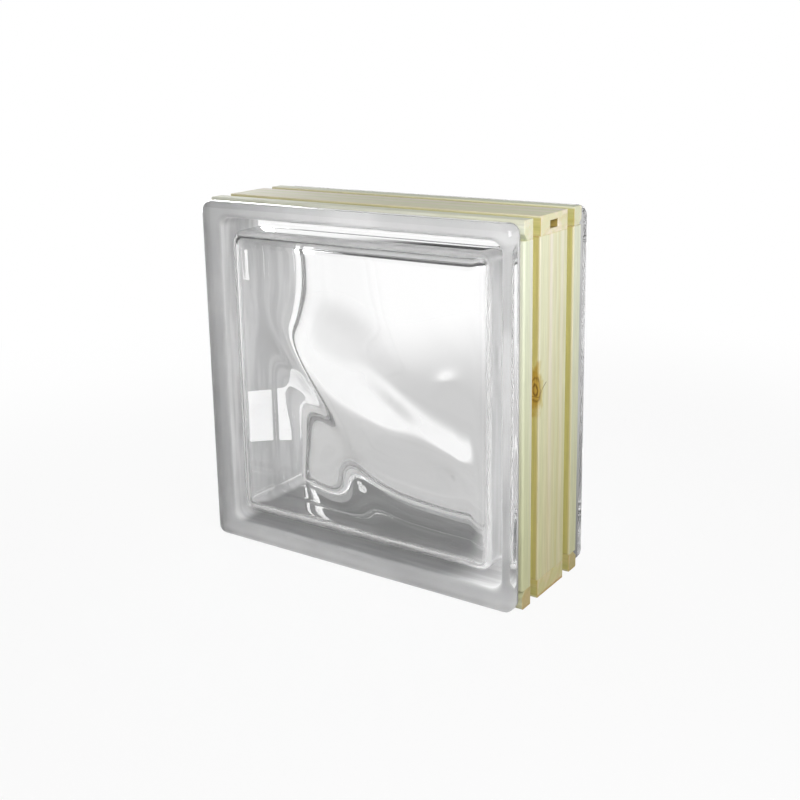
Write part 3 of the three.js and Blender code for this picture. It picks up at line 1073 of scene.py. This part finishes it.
corners = [(-1, -1, 0), (1, -1, 0), (1, 1, 0), (-1, 1, 0)]
floor = mesh_object("floor", FLOOR_REACH * np.array(corners), np.array([[0, 1, 2, 3]]))
pale_floor, sheet, shader = new_material(
    "pale_floor", Base_Color=grey(FLOOR_GREY), Roughness=FLOOR_ROUGHNESS,
    Specular_IOR_Level=0.0)
white = sheet.node("Emission", {"Color": grey(1.0), "Strength": 1.0})
place = sheet.node("TexCoord").outputs["Object"]
reach = sheet.node("VectorMath", {0: place}, operation="LENGTH").outputs["Value"]
direct, in_glass = light_paths(sheet)[:2]
for_camera = sheet.ramp(reach, SWEEP_START, SWEEP_END, FLOOR_WHITE_DIRECT, 1.0)
for_glass = sheet.ramp(reach, SWEEP_START, SWEEP_END, FLOOR_WHITE_IN_GLASS, 1.0)
share = sheet.math("ADD", sheet.math("MULTIPLY", direct, for_camera),
                   sheet.math("MULTIPLY", in_glass, for_glass))
mix = sheet.node("MixShader", {0: share, 1: shader.outputs[0], 2: white.outputs[0]})
sheet.link(mix.outputs[0], sheet.nodes["Material Output"].inputs["Surface"])
floor.data.materials.append(pale_floor)
print("floor: %.1f m wide" % (2 * FLOOR_REACH))

# %% [markdown]
# ### The room
#
# A world node tree can tell the room's tone from the height of a direction.
# Rays in the glass see white up to a little above the horizon and nearly
# black over it. Matt surfaces get an even grey room, a little dimmer above.
# The coat lies behind glass, where a renderer loses most of the room's
# light, so rays that reach it through glass are given that light back.

# %% World
GLASS_DARK_START = 0.195     # height of a direction: 0 is level and 1 straight up
GLASS_DARK_END = 0.205
GLASS_DARK = 0.03
ROOM_DIM_START = 0.1
ROOM_DIM_END = 0.7
ROOM_WALL = 0.6
ROOM_CEILING = 0.3
THROUGH_GAIN = 9.0           # light lost in the glass that the coat gets back
world = bpy.data.worlds.new("studio")
world.use_nodes = True
bpy.context.scene.world = world
sheet = NodeSheet(world.node_tree)
place = sheet.node("TexCoord").outputs["Generated"]
height = sheet.node("SeparateXYZ", {0: place}).outputs["Z"]
direct, in_glass, through = light_paths(sheet)
studio = sheet.ramp(height, GLASS_DARK_START, GLASS_DARK_END, 1.0, GLASS_DARK)
room = sheet.ramp(height, ROOM_DIM_START, ROOM_DIM_END, ROOM_WALL, ROOM_CEILING)
gain = sheet.math("ADD", sheet.math("MULTIPLY", through, THROUGH_GAIN), 1.0)
tone = sheet.blend(in_glass, sheet.math("MULTIPLY", room, gain), studio)
tone = sheet.blend(direct, tone, 1.0)
room_light = sheet.nodes["Background"]
room_light.inputs["Color"].default_value = grey(1.0)
sheet.link(tone, room_light.inputs["Strength"])
print("room: %.1f at the walls, %.1f above" % (ROOM_WALL, ROOM_CEILING))

# %% [markdown]
# ### Lamps
#
# Two soft lamps model the wood and the coat. Two small ones are there only
# for the bright patches on the left wall of the air space. Such a lamp would
# glare in the faces as well. A card could hide it there; here its light
# counts only for rays that have crossed four glass surfaces and been
# mirrored at one, and a narrow spread points it at that wall.

# %% Soft lamps
def soft_lamp(name, place, width, height, power, target):
    """A flat soft lamp that looks at a point."""
    lamp = bpy.data.lights.new(name, "AREA")
    lamp.shape = "RECTANGLE"
    lamp.energy = power
    lamp.size = width
    lamp.size_y = height
    holder = bpy.data.objects.new(name, lamp)
    bpy.context.scene.collection.objects.link(holder)
    holder.location = place
    holder.visible_camera = False
    aim = Vector(target) - Vector(place)
    holder.rotation_euler = aim.to_track_quat("-Z", "Y").to_euler()
    print("%s: %.4f W" % (name, power))
    return holder


middle = (0, 0, MIDDLE)
soft_lamp("right_lamp", (0.36, -0.26, 0.32), 0.3, 0.3, 1.7, middle)
soft_lamp("left_lamp", (-0.46, 0.26, 0.26), 0.3, 0.3, 1.5, middle)

# %% Glint lamps
GLINT_SPREAD = math.radians(60)
LEAST_MIRRORS = 0.5          # so one or more
LEAST_CROSSINGS = 3.5        # so four or more
glints = (
    soft_lamp("low_glint", (0.018, 0.10, 0.021), 0.036, 0.037, 0.0046, (-0.08, -0.01, 0.05)),
    soft_lamp("high_glint", (0.155, 0.25, 0.11), 0.017, 0.060, 0.0050, (-0.08, 0.0, 0.17)))
for holder in glints:
    holder.visible_diffuse = False
    holder.data.spread = GLINT_SPREAD
    holder.data.use_nodes = True
    sheet = NodeSheet(holder.data.node_tree)
    path = sheet.node("LightPath").outputs
    mirrored = sheet.math("GREATER_THAN", path["Glossy Depth"], LEAST_MIRRORS)
    crossed = sheet.math("GREATER_THAN", path["Transmission Depth"], LEAST_CROSSINGS)
    seen = sheet.math("MULTIPLY", mirrored, crossed)
    sheet.link(seen, sheet.nodes["Emission"].inputs["Strength"])

# %% [markdown]
# ## Camera
#
# The camera stands to the right of the block, a little above it and quite
# near, so the side with the grooves shows beside the face. A constraint could
# aim it, but its place is easier to tune as a turn round the block, a tilt
# and a distance from a target point. Its three directions are worked out from
# these angles and become the columns of its matrix.

# %% Camera
TURN = math.radians(34.50)
TILT = math.radians(13.24)
ROLL = math.radians(-1.06)
TARGET = Vector((6.4, 0, 129.1)) * MM
DISTANCE = 613 * MM
LENS = 52.56                 # focal length in millimetres
SHIFT_Y = -0.10              # moves the frame of view down by a tenth of its width

flat = math.cos(TILT)
back = Vector((math.sin(TURN) * flat, -math.cos(TURN) * flat, math.sin(TILT)))
level_right = Vector((math.cos(TURN), math.sin(TURN), 0))
level_up = back.cross(level_right)
right = level_right * math.cos(ROLL) + level_up * math.sin(ROLL)
up = level_up * math.cos(ROLL) - level_right * math.sin(ROLL)
lens = bpy.data.cameras.new("camera")
lens.lens = LENS
lens.shift_y = SHIFT_Y
lens.clip_start = 0.01
camera = bpy.data.objects.new("camera", lens)
bpy.context.scene.collection.objects.link(camera)
camera.matrix_world = Matrix((right, up, back)).transposed().to_4x4()
camera.location = TARGET + back * DISTANCE
bpy.context.scene.camera = camera
bpy.context.scene.view_settings.view_transform = "Standard"
print("camera at", [round(v, 3) for v in camera.location])
